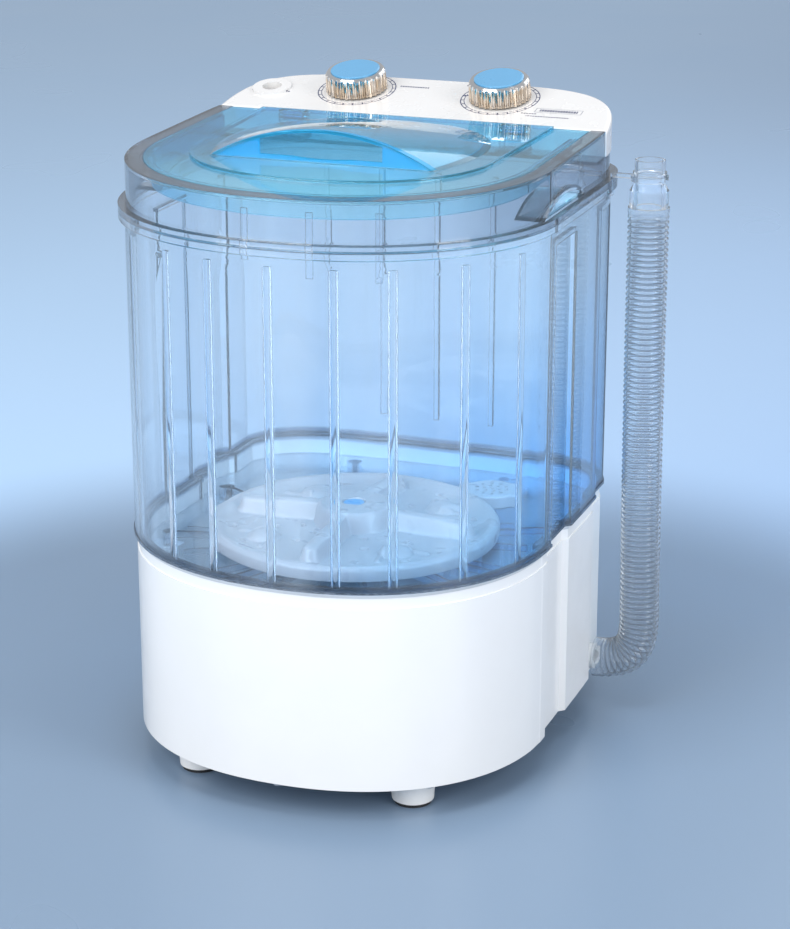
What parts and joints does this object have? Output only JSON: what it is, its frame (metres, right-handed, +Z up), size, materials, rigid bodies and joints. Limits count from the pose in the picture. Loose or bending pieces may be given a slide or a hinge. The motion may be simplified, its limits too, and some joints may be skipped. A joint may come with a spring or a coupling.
{
  "type": "portable mini washer",
  "caption": "Small top-loading washer: white motor base, clear ribbed tub and collar, tinted hinged lid, rear console with two dials, bottom pulsator and a corrugated drain hose.",
  "frame": {"origin": "on the floor, under the middle of the body (without the drain hose)", "axes": "+Z up, -Y towards the rounded front, +X towards the side with the drain hose"},
  "size_m": [0.3745, 0.363, 0.4956],
  "materials": {
    "base_white": "smooth satin gloss",
    "console_white": "smooth satin gloss",
    "feet_white": "fine matte",
    "inner_plastic": "as moulded",
    "clear_tub": "clear polished",
    "clear_collar": "clear, slightly smoky",
    "clear_grip": "clear polished",
    "lid_blue": "clear tinted, polished",
    "gasket_grey": "soft satin",
    "rubber_black": "matte",
    "pulsator_white": "satin",
    "strainer_white": "satin",
    "hose_clear": "clear, soft",
    "knob_chrome": "bright plated",
    "knob_blue": "smooth satin",
    "screw_steel": "plated",
    "shaft_steel": "ground",
    "bearing_steel": "ground",
    "housing_alu": "die cast",
    "pulley_nylon": "as moulded",
    "motor_steel": "black enamel",
    "bracket_steel": "zinc plated",
    "capacitor_grey": "smooth",
    "timer_grey": "as moulded"
  },
  "bodies": {
    "machine": {"base_housing": "base_white", "bottom_plate": "inner_plastic", "foot_front_left": "feet_white", "foot_front_right": "feet_white", "foot_rear_left": "feet_white", "foot_rear_right": "feet_white", "foot_pads": "rubber_black", "base_screws": "screw_steel", "tub_screws": "screw_steel", "wash_tub": "clear_tub", "tub_spider": "clear_tub", "tub_gasket": "gasket_grey", "strainer_seat": "inner_plastic", "drain_pipe": "inner_plastic", "hose_spigot": "inner_plastic", "drain_hose": "hose_clear", "hose_nozzle": "hose_clear", "nozzle_hook": "hose_clear", "upper_collar": "clear_collar", "rear_deck": "clear_collar", "collar_clips": "clear_collar", "grip_right": "clear_grip", "grip_left": "clear_grip", "hinge_bracket_left": "clear_collar", "hinge_bracket_right": "clear_collar", "hinge_pin_left": "shaft_steel", "hinge_pin_right": "shaft_steel", "console_cover": "console_white", "console_tray": "inner_plastic", "inlet_port": "console_white", "timer_body": "timer_grey", "selector_body": "timer_grey", "bearing_housing": "housing_alu", "bearing_upper": "bearing_steel", "bearing_lower": "bearing_steel", "shaft_seal": "rubber_black", "motor_body": "motor_steel", "motor_bracket": "bracket_steel", "motor_mounts": "rubber_black", "drive_belt": "rubber_black", "capacitor": "capacitor_grey", "capacitor_clip": "bracket_steel", "terminal_box": "timer_grey", "lead_gland": "rubber_black"},
    "lid": {"lid": "lid_blue"},
    "timer_dial": {"timer_knob": "knob_chrome", "timer_knob_cap": "knob_blue", "timer_spindle": "shaft_steel"},
    "selector_dial": {"selector_knob": "knob_chrome", "selector_knob_cap": "knob_blue", "selector_spindle": "shaft_steel"},
    "pulsator": {"pulsator": "pulsator_white", "hub_screw": "knob_blue", "drive_shaft": "shaft_steel", "large_pulley": "pulley_nylon", "pulley_nut": "screw_steel"},
    "rotor": {"motor_shaft": "shaft_steel", "motor_pulley": "pulley_nylon"},
    "strainer": {"strainer_cover": "strainer_white"}
  },
  "joints": [
    {"name": "lid_hinge", "type": "hinge", "parent": "machine", "child": "lid", "pos_m": [0, 0.09055, 0.4584], "axis": [-1, 0, 0], "range_deg": [0, 95]},
    {"name": "timer_turn", "type": "hinge", "parent": "machine", "child": "timer_dial", "pos_m": [-0.0595, 0.14655, 0.47389], "axis": [0, -0.2304, 0.9731], "range_deg": [-300, 0]},
    {"name": "selector_turn", "type": "hinge", "parent": "machine", "child": "selector_dial", "pos_m": [0.0595, 0.14655, 0.47389], "axis": [0, -0.2304, 0.9731], "range_deg": [-60, 60]},
    {"name": "pulsator_spin", "type": "hinge", "parent": "machine", "child": "pulsator", "pos_m": [0, -0.01325, 0.17], "axis": [0, 0, 1], "continuous": true},
    {"name": "motor_spin", "type": "hinge", "parent": "machine", "child": "rotor", "pos_m": [-0.06, 0.07255, 0.1], "axis": [0, 0, 1], "continuous": true},
    {"name": "strainer_lift", "type": "slide", "parent": "machine", "child": "strainer", "axis": [0, 0, 1], "range_m": [0, 0.03]}
  ],
  "couplings": [
    {"joint": "motor_spin", "follows": "pulsator_spin", "ratio": 4.4615}
  ]
}
